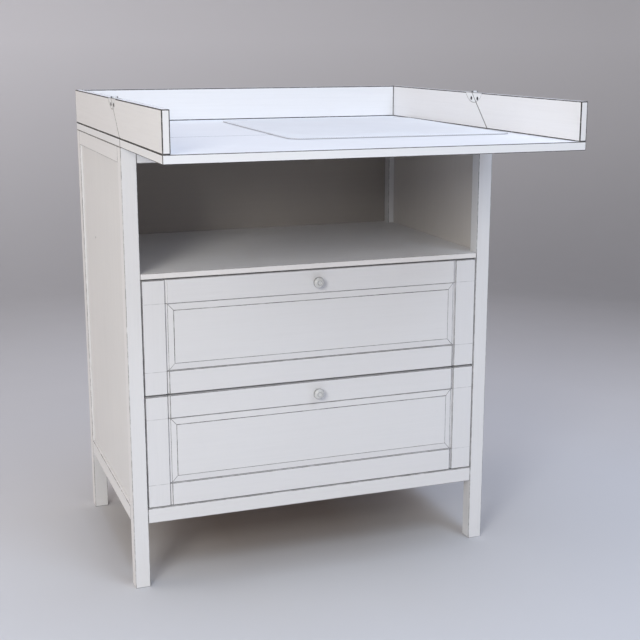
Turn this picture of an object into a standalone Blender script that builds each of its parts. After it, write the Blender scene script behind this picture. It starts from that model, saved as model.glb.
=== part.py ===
"""Changing table: a framed cabinet with an open shelf, two drawers and a tray top that folds back.

Metres, +Z up. The table faces -Y, and +X is on the right of somebody who stands in front of it.
The origin is on the floor, straight under the fold hinge, which is half-way between the front
edge of the open flap and the back of the cabinet.
"""

import math

import bmesh
import bpy
from mathutils import Matrix, Vector

# ---- driving dimensions -------------------------------------------------------------------
GAP = 0.0003             # left between two pieces that touch

WIDTH = 0.790            # over the legs, and over the tray
TOP = 0.990              # top edge of the tray rails
REACH = 0.435            # fold axis to the cabinet's back, and to the flap's front edge
FRONT = -0.075           # front face of the cabinet, where the top board is split too

LEG = 0.0305             # square legs
TRAY_HEIGHT = 0.0725     # tray rails above the board
TRAY_THICK = 0.014
TRAY_BACK_THICK = 0.016
BOARD = 0.016
SPLIT = 0.0005           # between the fixed and the folding half of the top

FRAME_HEIGHT = 0.031     # rails between the legs
FRAME_THICK = 0.018
FRAME_LOW = 0.138        # underside of the lower rails
PANEL_THICK = 0.012      # side panels
PANEL_RECESS = 0.005
BACK_PANEL_THICK = 0.004
BACK_PANEL_SETBACK = 0.003
APRON_SETBACK = 0.0005   # front rails behind the legs' faces

SHELF_TOP = 0.6547
SHELF_THICK = 0.011

DRAWER_LOW = {"upper": 0.4080, "lower": 0.1715}
DRAWER_HEIGHT = 0.2325
DRAWER_WIDTH = 0.725
DRAWER_FACE = FRONT + 0.0002
FACE_THICK = 0.018
STILE = 0.0454
FACE_RAIL = 0.047
GROOVE = (0.0046, 0.0040)        # width and depth of the chamfer beside each stile
FIELD_THICK = 0.013
FIELD_INSET = (0.0163, 0.0145)   # raised field inside the outline, sideways and upwards
BEVEL_OUTER = 0.0024             # depth of the sloped border at its outer and inner edge
BEVEL_INNER = 0.0015
FIELD_DEPTH = 0.0005             # depth of the raised field behind the face
FIELD_EDGE = 0.0004              # width of the small slope round the raised field
BORDER_UP = 0.0012               # height of the slope from the outline to the border

BOX_WIDTH = 0.714
BOX_SIDE = 0.014
BOX_DEPTH = 0.430
BOX_RISE = 0.017                 # box above the lower edge of the face
BOX_HEIGHT = 0.175
BOX_BACK = 0.012
BOTTOM_RISE = 0.011              # bottom board above the box's lower edge
BOTTOM_THICK = 0.004
BOTTOM_GROOVE = 0.0055
RUNNER_RISE = 0.093              # runner's middle above the box's lower edge
RUNNER_HEIGHT = 0.016
RUNNER_GROOVE = 0.006
RUNNER_PLAY = 0.0006
RUNNER_ENDS = (0.002, 0.003)     # left free behind the face, and before the back panel

KNOB_RADIUS = 0.0117
KNOB_LENGTH = 0.0200
KNOB_NECK = 0.0062
KNOB_FOOT = (0.0012, 0.0020)     # how much the foot is wider than the neck, and its height
KNOB_FLARE = 0.0070              # where the neck starts to widen, from the drawer's face
KNOB_RIM = 0.0135                # where the knob is widest
KNOB_DISH = (0.0048, 0.0036, 0.0007)     # radius at the lip, radius at the floor, depth
KNOB_BORE = (0.0022, 0.012)      # radius and depth
KNOB_SCREW = 0.0019
KNOB_SCREW_HEAD = (0.0040, 0.0022)
KNOB_SCREW_SOCKET = (0.0012, 0.0010)
KNOB_SCREW_EDGE = 0.0008         # chamfer of the head, and how much the tip narrows
KNOB_SCREW_TIP = 0.001           # length of the tip, and what it leaves free in the bore
KNOB_SCREW_PLAY = 0.0004         # round the screw in the rail

AXIS_RISE = 0.0003               # fold axis above the rails' top edges
LEAF_HALF_CHORD = 0.037          # the hinge is a circular segment let into each tray rail
LEAF_DEPTH = 0.020
LEAF_MIDDLE = -0.009
LEAF_SETBACK = 0.0001            # behind each face of the rail
KNUCKLE = 0.0030
KNUCKLE_PLAY = 0.00035
PIN = 0.0012
BOLT_HEIGHT = 0.978
BOLT_Y = {"rear": 0.002, "front": -0.026}
BOLT_SHAFT = 0.0016
BOLT_HEAD = (0.0030, 0.0012)
BOLT_EDGE = 0.0004
BOLT_SOCKET = (0.0013, 0.0008)

MAT_SIZE = (0.460, 0.560)
MAT_THICK = 0.005
MAT_CORNER = 0.030
MAT_CENTRE = (0.139, 0.061)
MAT_TURN = math.radians(-2)

# ---- places worked out from them ----------------------------------------------------------
HALF = WIDTH / 2
TRAY_LOW = TOP - TRAY_HEIGHT
BOARD_TOP = TRAY_LOW - GAP
BOARD_LOW = BOARD_TOP - BOARD
LEG_TOP = BOARD_LOW - GAP
LEG_INNER = HALF - LEG
FRONT_LEG_BACK = FRONT + LEG
REAR_LEG_FRONT = REACH - LEG
FRAME_TOP_LOW = LEG_TOP - FRAME_HEIGHT
FRAME_LOW_TOP = FRAME_LOW + FRAME_HEIGHT
PANEL_OUTER = HALF - PANEL_RECESS
PANEL_INNER = PANEL_OUTER - PANEL_THICK
BACK_PANEL_REAR = REACH - BACK_PANEL_SETBACK
BACK_PANEL_FRONT = BACK_PANEL_REAR - BACK_PANEL_THICK
AXIS = Vector((0, 0, TOP + AXIS_RISE))
LEAF_RADIUS = (LEAF_HALF_CHORD ** 2 + LEAF_DEPTH ** 2) / (2 * LEAF_DEPTH)
LEAF_CENTRE = Vector((LEAF_MIDDLE, TOP + LEAF_RADIUS - LEAF_DEPTH))

SIDES = {"left": -1, "right": 1}


# ---- modelling tools ----------------------------------------------------------------------
def clear_scene():
    for old in list(bpy.data.objects):
        bpy.data.objects.remove(old)


def finish(name, colour, roughness, metallic=0.0):
    """A plain Principled material."""
    surface = bpy.data.materials.new(name)
    surface.use_nodes = True
    shader = surface.node_tree.nodes["Principled BSDF"]
    shader.inputs["Base Color"].default_value = (*colour, 1)
    shader.inputs["Roughness"].default_value = roughness
    shader.inputs["Metallic"].default_value = metallic
    return surface


def body_axis(name, place):
    """The empty that a moving body's pieces hang on."""
    empty = bpy.data.objects.new(name, None)
    empty.location = place
    bpy.context.collection.objects.link(empty)
    return empty


def add(name, bm, place, surface, body=None):
    """Turns a bmesh, drawn around place, into a named piece of a body."""
    bmesh.ops.recalc_face_normals(bm, faces=bm.faces)
    mesh = bpy.data.meshes.new(name)
    bm.to_mesh(mesh)
    bm.free()
    mesh.materials.append(surface)
    piece = bpy.data.objects.new(name, mesh)
    bpy.context.collection.objects.link(piece)
    piece.location = Vector(place)
    if body:
        piece.parent = body
        piece.location -= body.location
    return piece


def box(name, low, high, surface, body=None):
    low = Vector(low)
    high = Vector(high)
    bm = bmesh.new()
    bmesh.ops.create_cube(bm, size=1)
    bmesh.ops.scale(bm, vec=high - low, verts=bm.verts)
    return add(name, bm, (low + high) / 2, surface, body)


def span(side, inner, outer):
    """The x range between two distances from the middle, on one side."""
    return sorted((side * inner, side * outer))


def prism(outline, axis, low, high):
    """A bmesh of an outline in the plane across an axis (0 X, 1 Y, 2 Z), pulled along it."""
    bm = bmesh.new()
    corners = []
    for first, second in outline:
        point = [first, second]
        point.insert(axis, low)
        corners.append(bm.verts.new(point))
    face = bm.faces.new(corners)
    pulled = bmesh.ops.extrude_face_region(bm, geom=[face])["geom"]
    step = Vector((0, 0, 0))
    step[axis] = high - low
    moved = [item for item in pulled if isinstance(item, bmesh.types.BMVert)]
    bmesh.ops.translate(bm, vec=step, verts=moved)
    return bm


def turned(profile, segments=24):
    """A bmesh turned round Z from (radius, height) points, with a flat face across both ends."""
    bm = bmesh.new()
    rings = []
    turn = [math.tau * step / segments for step in range(segments)]
    for radius, height in profile:
        rings.append([bm.verts.new((radius * math.cos(a), radius * math.sin(a), height)) for a in turn])
    for ring, after in zip(rings, rings[1:]):
        for i in range(segments):
            j = (i + 1) % segments
            bm.faces.new((ring[i], ring[j], after[j], after[i]))
    bm.faces.new(rings[0])
    bm.faces.new(rings[-1])
    return bm


def across(bm, centre):
    """Turns a bmesh from Z to X and moves it to a centre."""
    bmesh.ops.rotate(bm, matrix=Matrix.Rotation(math.pi / 2, 3, "Y"), verts=bm.verts)
    bmesh.ops.translate(bm, vec=Vector(centre), verts=bm.verts)
    return bm


def cylinder(radius, length, segments=24):
    """A bmesh cylinder round Z, centred on the origin."""
    end = length / 2
    return turned([(radius, -end), (radius, end)], segments)


def combine(piece, operation, bm):
    """Joins a world-space bmesh to a piece, or cuts it away, for good."""
    bmesh.ops.recalc_face_normals(bm, faces=bm.faces)
    mesh = bpy.data.meshes.new("tool")
    bm.to_mesh(mesh)
    bm.free()
    tool = bpy.data.objects.new("tool", mesh)
    tool.display_type = "WIRE"
    tool.hide_render = True
    bpy.context.collection.objects.link(tool)
    change = piece.modifiers.new("change", "BOOLEAN")
    change.operation = operation
    change.solver = "EXACT"
    change.object = tool
    view = bpy.context.evaluated_depsgraph_get()
    view.update()
    result = bpy.data.meshes.new_from_object(piece.evaluated_get(view))
    result.name = piece.name
    piece.modifiers.clear()
    piece.data = result
    bpy.data.objects.remove(tool)


def smooth(piece, angle=35):
    piece.data.shade_smooth()
    piece.data.set_sharp_from_angle(angle=math.radians(angle))


# ---- cabinet ------------------------------------------------------------------------------
def legs(paint):
    for side_name, side in SIDES.items():
        x_low, x_high = span(side, LEG_INNER, HALF)
        for end, front, back in (("front", FRONT, FRONT_LEG_BACK), ("rear", REAR_LEG_FRONT, REACH)):
            box(f"leg_{end}_{side_name}", (x_low, front, 0), (x_high, back, LEG_TOP), paint)


def side_frames(paint, panel_paint):
    """Two rails and a recessed panel between the legs of each side."""
    front = FRONT_LEG_BACK + GAP
    back = REAR_LEG_FRONT - GAP
    for side_name, side in SIDES.items():
        x_low, x_high = span(side, HALF - FRAME_THICK, HALF)
        for level, low, high in (("top", FRAME_TOP_LOW, LEG_TOP), ("bottom", FRAME_LOW, FRAME_LOW_TOP)):
            box(f"side_rail_{level}_{side_name}", (x_low, front, low), (x_high, back, high), paint)
        x_low, x_high = span(side, PANEL_INNER, PANEL_OUTER)
        low = (x_low, front, FRAME_LOW_TOP + GAP)
        high = (x_high, back, FRAME_TOP_LOW - GAP)
        box(f"side_panel_{side_name}", low, high, panel_paint)


def cross_rails(paint):
    """The rails that join the two sides, at the front and at the back."""
    x = LEG_INNER - GAP
    levels = {"top": (FRAME_TOP_LOW, LEG_TOP), "bottom": (FRAME_LOW, FRAME_LOW_TOP)}
    for level, (low, high) in levels.items():
        front = FRONT + APRON_SETBACK
        box(f"front_rail_{level}", (-x, front, low), (x, front + FRAME_THICK, high), paint)
        box(f"rear_rail_{level}", (-x, REACH - FRAME_THICK, low), (x, REACH, high), paint)


def back_panel(board_paint):
    x = LEG_INNER - GAP
    low = (-x, BACK_PANEL_FRONT, FRAME_LOW_TOP + GAP)
    high = (x, BACK_PANEL_REAR, FRAME_TOP_LOW - GAP)
    box("back_panel", low, high, board_paint)


def shelf(board_paint):
    """One board, notched round the four legs."""
    narrow = LEG_INNER - GAP
    wide = PANEL_INNER - GAP
    front = FRONT + APRON_SETBACK
    behind_front_legs = FRONT_LEG_BACK + GAP
    before_rear_legs = REAR_LEG_FRONT - GAP
    rear = BACK_PANEL_FRONT - GAP
    right = [
        (narrow, front),
        (narrow, behind_front_legs),
        (wide, behind_front_legs),
        (wide, before_rear_legs),
        (narrow, before_rear_legs),
        (narrow, rear),
    ]
    left = [(-x, y) for x, y in reversed(right)]
    bm = prism(right + left, 2, SHELF_TOP - SHELF_THICK, SHELF_TOP)
    add("shelf", bm, (0, 0, 0), board_paint)


def runners(metal):
    """A bar on each side of each drawer, between the front leg and the rear leg."""
    inner = BOX_WIDTH / 2 - RUNNER_GROOVE + RUNNER_PLAY
    front = DRAWER_FACE + FACE_THICK + RUNNER_ENDS[0]
    back = BACK_PANEL_FRONT - RUNNER_ENDS[1]
    for level, face_low in DRAWER_LOW.items():
        middle = face_low + BOX_RISE + RUNNER_RISE
        for side_name, side in SIDES.items():
            x_low, x_high = span(side, inner, LEG_INNER - GAP)
            low = (x_low, front, middle - RUNNER_HEIGHT / 2)
            high = (x_high, back, middle + RUNNER_HEIGHT / 2)
            box(f"runner_{level}_{side_name}", low, high, metal)


# ---- tray top -----------------------------------------------------------------------------
def split_point(half, z):
    """Where the slanted end of a tray rail is at height z: half is 1 behind it, -1 before it."""
    slant = FRONT * (TOP - z) / TRAY_HEIGHT
    return Vector((slant + half * SPLIT / 2, z))


def leaf_arc(half, grow, steps=10):
    """The hinge's round outline, from the rail's top edge down to the slanted split."""
    radius = LEAF_RADIUS + grow
    start = split_point(half, TOP)
    run = split_point(half, TRAY_LOW) - start
    offset = start - LEAF_CENTRE
    a = run.dot(run)
    b = 2 * run.dot(offset)
    c = offset.dot(offset) - radius ** 2
    meet = start + run * (-b + math.sqrt(b * b - 4 * a * c)) / (2 * a)
    rise = TOP - LEAF_CENTRE.y
    first = math.atan2(rise, half * math.sqrt(radius ** 2 - rise ** 2))
    last = math.atan2(meet.y - LEAF_CENTRE.y, meet.x - LEAF_CENTRE.x)
    points = []
    for step in range(steps + 1):
        angle = first + (last - first) * step / steps
        points.append(LEAF_CENTRE + radius * Vector((math.cos(angle), math.sin(angle))))
    return points


def tray_boards(board_paint, flap):
    low = (-HALF, FRONT + SPLIT / 2, BOARD_LOW)
    box("top_board_rear", low, (HALF, REACH, BOARD_TOP), board_paint)
    high = (HALF, FRONT - SPLIT / 2, BOARD_TOP)
    box("top_board_front", (-HALF, -REACH, BOARD_LOW), high, board_paint, flap)


def tray_rails(paint, flap):
    """Side rails in two halves with a slanted split, and one back rail."""
    for side_name, side in SIDES.items():
        x_low, x_high = span(side, HALF - TRAY_THICK, HALF)
        for end, half, body in (("rear", 1, None), ("front", -1, flap)):
            far = half * REACH
            outline = [split_point(half, TRAY_LOW), (far, TRAY_LOW), (far, TOP), *leaf_arc(half, GAP)]
            bm = prism(outline, 0, x_low, x_high)
            add(f"tray_rail_{end}_{side_name}", bm, (0, 0, 0), paint, body)
    x = HALF - TRAY_THICK - GAP
    low = (-x, REACH - TRAY_BACK_THICK, TRAY_LOW)
    box("tray_rail_back", low, (x, REACH, TOP), paint)


def hinge_leaf(name, half, side, metal, body):
    """Half of the segment, with its knuckles round the pin and its bolt's counterbored hole."""
    x_low, x_high = span(side, HALF - TRAY_THICK + LEAF_SETBACK, HALF - LEAF_SETBACK)
    bm = prism([split_point(half, TOP), *leaf_arc(half, 0)], 0, x_low, x_high)
    leaf = add(name, bm, (0, 0, 0), metal, body)
    middle = (x_low + x_high) / 2
    third = (x_high - x_low) / 3
    width = x_high - x_low
    outer = [x_low + third / 2, x_high - third / 2]
    own, others = (outer, [middle]) if half > 0 else ([middle], outer)
    for x in own:
        knuckle = cylinder(KNUCKLE, third - 2 * GAP)
        combine(leaf, "UNION", across(knuckle, (x, 0, AXIS.z)))
    for x in others:
        past = third if x != middle else 0
        relief = cylinder(KNUCKLE + KNUCKLE_PLAY, third + past + GAP)
        place = x + math.copysign(past / 2, x - middle)
        combine(leaf, "DIFFERENCE", across(relief, (place, 0, AXIS.z)))
    pin_hole = cylinder(PIN + GAP, width * 2, 16)
    combine(leaf, "DIFFERENCE", across(pin_hole, (middle, 0, AXIS.z)))

    shoulder = width / 2 - BOLT_HEAD[1] - 2 * GAP
    shaft = BOLT_SHAFT + GAP
    head = BOLT_HEAD[0] + GAP
    profile = [(head, -width), (head, -shoulder), (shaft, -shoulder)]
    profile += [(shaft, shoulder), (head, shoulder), (head, width)]
    bolt = (middle, BOLT_Y["rear" if half > 0 else "front"], BOLT_HEIGHT)
    combine(leaf, "DIFFERENCE", across(turned(profile, 16), bolt))
    smooth(leaf)


def hinge_bolt(name, half, side, steel, body):
    """A sleeve bolt across the rail, with a socket head on each face."""
    length = TRAY_THICK - 4 * GAP
    radius, head = BOLT_HEAD
    socket, depth = BOLT_SOCKET
    right = [
        (socket, length / 2 - depth),
        (socket, length / 2),
        (radius - BOLT_EDGE, length / 2),
        (radius, length / 2 - BOLT_EDGE),
        (radius, length / 2 - head),
        (BOLT_SHAFT, length / 2 - head),
    ]
    left = [(r, -z) for r, z in reversed(right)]
    bm = turned(right + left, 16)
    place = (side * (HALF - TRAY_THICK / 2), BOLT_Y["rear" if half > 0 else "front"], BOLT_HEIGHT)
    bolt = add(name, bm, place, steel, body)
    bolt.rotation_euler = (0, math.pi / 2, 0)
    smooth(bolt)


def hinges(metal, steel, flap):
    for side_name, side in SIDES.items():
        for end, half, body in (("rear", 1, None), ("front", -1, flap)):
            hinge_leaf(f"hinge_leaf_{end}_{side_name}", half, side, metal, body)
            hinge_bolt(f"hinge_bolt_{end}_{side_name}", half, side, steel, body)
        middle = side * (HALF - TRAY_THICK / 2)
        shank = cylinder(PIN, TRAY_THICK - 4 * GAP, 16)
        pin = add(f"hinge_pin_{side_name}", shank, (middle, 0, AXIS.z), steel)
        pin.rotation_euler = (0, math.pi / 2, 0)
        smooth(pin)


def changing_mat(fabric):
    """A thin mat that lies in the tray, across the split."""
    half_width = MAT_SIZE[0] / 2 - MAT_CORNER
    half_length = MAT_SIZE[1] / 2 - MAT_CORNER
    outline = []
    for quarter, (sign_x, sign_y) in enumerate(((1, 1), (-1, 1), (-1, -1), (1, -1))):
        for step in range(7):
            angle = (quarter + step / 6) * math.pi / 2
            x = sign_x * half_width + MAT_CORNER * math.cos(angle)
            y = sign_y * half_length + MAT_CORNER * math.sin(angle)
            outline.append((x, y))
    bm = prism(outline, 2, 0, MAT_THICK)
    place = (*MAT_CENTRE, BOARD_TOP + GAP)
    mat = add("changing_mat", bm, place, fabric)
    mat.rotation_euler = (0, 0, MAT_TURN)


# ---- drawers ------------------------------------------------------------------------------
def face_frame(prefix, low, paint, body):
    """Two full-height stiles, and two rails between them with chamfered ends."""
    back = DRAWER_FACE + FACE_THICK
    half = DRAWER_WIDTH / 2
    for side_name, side in SIDES.items():
        x_low, x_high = span(side, half - STILE, half)
        far = (x_high, back, low + DRAWER_HEIGHT)
        box(f"{prefix}_stile_{side_name}", (x_low, DRAWER_FACE, low), far, paint, body)
    end = half - STILE - GAP
    width, depth = GROOVE
    outline = [
        (-end, back),
        (-end, DRAWER_FACE + depth),
        (-end + width, DRAWER_FACE),
        (end - width, DRAWER_FACE),
        (end, DRAWER_FACE + depth),
        (end, back),
    ]
    top = low + DRAWER_HEIGHT
    for level, start in (("bottom", low), ("top", top - FACE_RAIL)):
        bm = prism(outline, 2, start, start + FACE_RAIL)
        rail = add(f"{prefix}_rail_{level}", bm, (0, 0, 0), paint, body)
    hole = cylinder(KNOB_SCREW + KNOB_SCREW_PLAY, FACE_THICK * 4, 16)
    bmesh.ops.rotate(hole, matrix=Matrix.Rotation(math.pi / 2, 3, "X"), verts=hole.verts)
    bmesh.ops.translate(hole, vec=(0, DRAWER_FACE, top - FACE_RAIL / 2), verts=hole.verts)
    combine(rail, "DIFFERENCE", hole)


def field_panel(name, low, high, paint, body):
    """The middle panel: a shallow mitred bevel around a field that stands a little proud of it."""
    half_width = DRAWER_WIDTH / 2 - STILE - GAP
    half_height = (high - low) / 2
    side_in, up_in = FIELD_INSET
    rings = [
        (0, 0, FIELD_THICK),
        (0, 0, GROOVE[1]),
        (GROOVE[0], BORDER_UP, BEVEL_OUTER),
        (side_in, up_in, BEVEL_INNER),
        (side_in + FIELD_EDGE, up_in + FIELD_EDGE, FIELD_DEPTH),
    ]
    bm = bmesh.new()
    loops = []
    for inset_x, inset_z, depth in rings:
        x = half_width - inset_x
        z = half_height - inset_z
        corners = ((-x, depth, -z), (x, depth, -z), (x, depth, z), (-x, depth, z))
        loops.append([bm.verts.new(corner) for corner in corners])
    for loop, after in zip(loops, loops[1:]):
        for i in range(4):
            j = (i + 1) % 4
            bm.faces.new((loop[i], loop[j], after[j], after[i]))
    bm.faces.new(loops[0])
    bm.faces.new(loops[-1])
    add(name, bm, (0, DRAWER_FACE, (low + high) / 2), paint, body)


def drawer_box(prefix, face_low, wood, board_paint, body):
    """Grooved sides, a back, and a bottom board that slides into the sides' inner grooves."""
    front = DRAWER_FACE + FACE_THICK + GAP
    back = front + BOX_DEPTH
    low = face_low + BOX_RISE
    high = low + BOX_HEIGHT
    outer = BOX_WIDTH / 2
    inner = outer - BOX_SIDE
    runner = low + RUNNER_RISE
    runner_half = RUNNER_HEIGHT / 2 + RUNNER_PLAY
    bottom = low + BOTTOM_RISE
    for side_name, side in SIDES.items():
        outline = [
            (inner, low),
            (outer, low),
            (outer, runner - runner_half),
            (outer - RUNNER_GROOVE, runner - runner_half),
            (outer - RUNNER_GROOVE, runner + runner_half),
            (outer, runner + runner_half),
            (outer, high),
            (inner, high),
            (inner, bottom + BOTTOM_THICK + GAP),
            (inner + BOTTOM_GROOVE, bottom + BOTTOM_THICK + GAP),
            (inner + BOTTOM_GROOVE, bottom - GAP),
            (inner, bottom - GAP),
        ]
        bm = prism([(side * x, z) for x, z in outline], 1, front, back)
        add(f"{prefix}_side_{side_name}", bm, (0, 0, 0), wood, body)
    x = inner - GAP
    above = bottom + BOTTOM_THICK + GAP
    box(f"{prefix}_back", (-x, back - BOX_BACK, above), (x, back, high), wood, body)
    x = inner + BOTTOM_GROOVE - GAP
    corner = (x, back - GAP, bottom + BOTTOM_THICK)
    box(f"{prefix}_bottom", (-x, front, bottom), corner, board_paint, body)


def knob(prefix, height, white, steel, body):
    """A turned mushroom knob with a shallow dish in its face, and the screw that holds it."""
    bore, bore_depth = KNOB_BORE
    dish, dish_floor, dish_depth = KNOB_DISH
    wider, foot = KNOB_FOOT
    profile = [(bore, bore_depth), (bore, 0), (KNOB_NECK + wider, 0)]
    profile += [(KNOB_NECK, foot), (KNOB_NECK, KNOB_FLARE)]
    for step in range(1, 5):
        angle = step / 4 * math.pi / 2
        flare = KNOB_RADIUS - (KNOB_RADIUS - KNOB_NECK) * math.cos(angle)
        profile.append((flare, KNOB_FLARE + (KNOB_RIM - KNOB_FLARE) * math.sin(angle)))
    for step in range(1, 7):
        angle = step / 7 * math.pi / 2
        rise = KNOB_RIM + (KNOB_LENGTH - KNOB_RIM) * math.sin(angle)
        profile.append((dish + (KNOB_RADIUS - dish) * math.cos(angle), rise))
    profile += [(dish, KNOB_LENGTH), (dish_floor, KNOB_LENGTH - dish_depth)]
    place = (0, DRAWER_FACE - GAP, height)
    piece = add(f"{prefix}_knob", turned(profile, 24), place, white, body)
    piece.rotation_euler = (math.pi / 2, 0, 0)
    smooth(piece)

    radius, head = KNOB_SCREW_HEAD
    socket, depth = KNOB_SCREW_SOCKET
    edge = KNOB_SCREW_EDGE
    tip = FACE_THICK + bore_depth - KNOB_SCREW_TIP
    profile = [(socket, -head + depth), (socket, -head), (radius - edge, -head)]
    profile += [(radius, -head + edge), (radius, 0), (KNOB_SCREW, 0)]
    profile += [(KNOB_SCREW, tip - KNOB_SCREW_TIP), (KNOB_SCREW - edge, tip)]
    place = (0, DRAWER_FACE + FACE_THICK + GAP, height)
    screw = add(f"{prefix}_knob_screw", turned(profile, 16), place, steel, body)
    screw.rotation_euler = (math.pi / 2, 0, 0)
    smooth(screw)


def drawer(level, finishes, body):
    prefix = f"drawer_{level}"
    low = DRAWER_LOW[level]
    high = low + DRAWER_HEIGHT
    face_frame(prefix, low, finishes["face"], body)
    rail = FACE_RAIL + GAP
    field_panel(f"{prefix}_panel", low + rail, high - rail, finishes["face"], body)
    drawer_box(prefix, low, finishes["box"], finishes["board"], body)
    knob(prefix, high - FACE_RAIL / 2, finishes["knob"], finishes["steel"], body)


def build():
    clear_scene()
    finishes = {
        "frame": finish("painted_frame", (0.80, 0.80, 0.81), 0.45),
        "face": finish("painted_face", (0.80, 0.80, 0.82), 0.42),
        "top": finish("painted_top", (0.85, 0.87, 0.90), 0.40),
        "board": finish("foil_board", (0.78, 0.78, 0.79), 0.50),
        "box": finish("drawer_box", (0.78, 0.77, 0.75), 0.55),
        "knob": finish("knob_white", (0.78, 0.79, 0.78), 0.35),
        "hinge": finish("hinge_white", (0.82, 0.83, 0.85), 0.35),
        "steel": finish("screw_steel", (0.30, 0.30, 0.31), 0.35, 1.0),
        "runner": finish("runner_metal", (0.62, 0.63, 0.64), 0.40, 1.0),
        "mat": finish("mat_cover", (0.86, 0.88, 0.91), 0.75),
    }
    flap = body_axis("flap_fold_axis", AXIS)
    slides = {}
    for level, low in DRAWER_LOW.items():
        slides[level] = body_axis(f"drawer_{level}_slide", (0, DRAWER_FACE, low))
    bpy.context.view_layer.update()

    legs(finishes["frame"])
    side_frames(finishes["frame"], finishes["board"])
    cross_rails(finishes["frame"])
    back_panel(finishes["board"])
    shelf(finishes["board"])
    runners(finishes["runner"])
    tray_boards(finishes["top"], flap)
    tray_rails(finishes["frame"], flap)
    hinges(finishes["hinge"], finishes["steel"], flap)
    changing_mat(finishes["mat"])
    for level, body in slides.items():
        drawer(level, finishes, body)


build()
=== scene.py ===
"""Looks of the changing table: painted wood, foil boards, metal fittings and a soft mat.

Metres, +Z up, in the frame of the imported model. The table faces -Y.
"""

import math

import bmesh
import bpy
from mathutils import Matrix, Vector

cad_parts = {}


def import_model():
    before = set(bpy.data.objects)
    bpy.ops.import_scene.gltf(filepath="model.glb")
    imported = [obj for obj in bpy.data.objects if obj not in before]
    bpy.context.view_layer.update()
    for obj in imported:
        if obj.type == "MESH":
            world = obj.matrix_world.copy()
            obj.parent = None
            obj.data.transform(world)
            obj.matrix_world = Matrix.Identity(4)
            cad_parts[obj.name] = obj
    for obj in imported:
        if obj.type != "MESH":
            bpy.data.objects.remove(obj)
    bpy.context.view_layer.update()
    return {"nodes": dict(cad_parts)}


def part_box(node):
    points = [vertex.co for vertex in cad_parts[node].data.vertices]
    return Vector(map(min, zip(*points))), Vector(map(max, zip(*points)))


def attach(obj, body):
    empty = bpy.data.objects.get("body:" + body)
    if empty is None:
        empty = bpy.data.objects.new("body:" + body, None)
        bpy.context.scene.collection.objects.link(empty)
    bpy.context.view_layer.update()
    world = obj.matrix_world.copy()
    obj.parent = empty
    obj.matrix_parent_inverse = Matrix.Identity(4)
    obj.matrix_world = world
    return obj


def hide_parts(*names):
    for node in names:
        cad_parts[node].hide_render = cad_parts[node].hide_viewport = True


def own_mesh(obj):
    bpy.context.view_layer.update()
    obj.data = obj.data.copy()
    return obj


MM = 0.001
UP = Vector((0, 0, 1))

# ---- camera, lights and stage ---------------------------------------------------------------
CAMERA_PLACE = (-0.8287, -2.3655, 1.0952)
CAMERA_TURN = math.radians(20.05)        # to the right of straight ahead
CAMERA_DIP = math.radians(12.94)
CAMERA_LENS = 68.06
CAMERA_REACH = 50

STAGE_FLAT = 3.0                         # radius of the level floor
STAGE_CURVE = 2.2                        # radius of the curve up to the wall
STAGE_HEIGHT = 4.5
STAGE_RINGS = 6                          # from the middle to the edge of the level floor
CURVE_RINGS = 12
STAGE_SIDES = 96
STAGE_COLOUR = (0.60, 0.61, 0.64)
WALL_START = (1.5, 3.0)                  # distance over which the floor's tone turns into the wall's
WALL_PAINTED_LIGHT_ACROSS = ((-0.2, 1.12), (3.2, 0.75))    # x, and how bright the wall is there: painted light, brighter on the left
WALL_PAINTED_LIGHT_UP = ((0.0, 0.72), (1.1, 1.25))         # the same for z: painted shade, darkest at the wall's foot
WALL_BACK = ((-2.0, 0.60), (0.5, 1.0))       # the same for y: darker behind the camera

PAINTED_SHADOW_MIDDLE = (-0.01, 0.22)             # painted shadow: a darker patch of floor under the cabinet
PAINTED_SHADOW_HALF = (0.43, 0.34)
PAINTED_SHADOW_SOFT = 0.30
PAINTED_SHADOW_COLOUR = (0.37, 0.325, 0.305)

WORLD_COLOUR = (1.0, 0.86, 0.775)
WORLD_STRENGTH = 0.62
LAMPS = {
    # name: place, what it points at, size, watts, colour
    "key": ((-2.25, -2.95, 1.85), (0, -0.1, 0.5), (1.0, 1.0), 57, (1.0, 0.975, 0.905)),
    "high": ((-2.6, -2.4, 3.0), (0, -0.1, 0.6), (1.4, 1.4), 17.5, (0.90, 0.97, 1.0)),
    "side": ((-3.6, 0.8, 1.5), (0, 0.1, 0.5), (1.6, 1.6), 15.5, (1.0, 0.81, 0.53)),
    "top": ((0.1, -0.5, 3.7), (0.05, -0.2, 0.0), (2.2, 2.2), 46, (0.49, 0.68, 1.0)),
    "near": ((1.1, -2.5, 3.3), (0.9, -2.0, 0.0), (1.6, 1.6), 37.5, (0.64, 0.80, 1.0)),
    "front": ((0.7, -4.2, 0.9), (0, 0, 0.4), (1.4, 0.8), 6.5, (1.0, 0.90, 0.85)),
}

# ---- dark lines along the edges: painted shade in seams between parts, outlines elsewhere ---
EDGE_LINE = (0.028, 0.025, 0.023)
LINE_ROUGHNESS = 0.4                     # what a full line adds to the roughness
EDGE_SHARES = {
    # kind of piece: how strong the line on its rounded edges is, at its faintest and strongest
    "painted_frame": (0.20, 0.72),
    "painted_face": (0.50, 0.92),
    "painted_top": (0.35, 0.85),
    "foil_board": (0.10, 0.60),
    "side_panel": (0.10, 0.60),
    "shelf": (0.30, 0.80),
    "drawer_box": (0.10, 0.50),
    "drawer_bottom": (0.10, 0.50),
    "back_panel": (0.10, 0.50),
    "hinge": (0.55, 0.90),
}
PLUG_SHARES = (0.1, 0.4)                 # the same for dark patches all over a cover plug
OUTLINES = {"tray_rail": 2.2 * MM, "top_board": 1.4 * MM}    # broader dark lines on pieces with these names: painted shade in their seams, outlines elsewhere
OUTLINE_CORE = 0.7                       # share of an outline's width that is fully dark
ON_AN_EDGE = (1.3, 1.7)                  # a point near two faces of a box counts 2, near one counts 1
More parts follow.
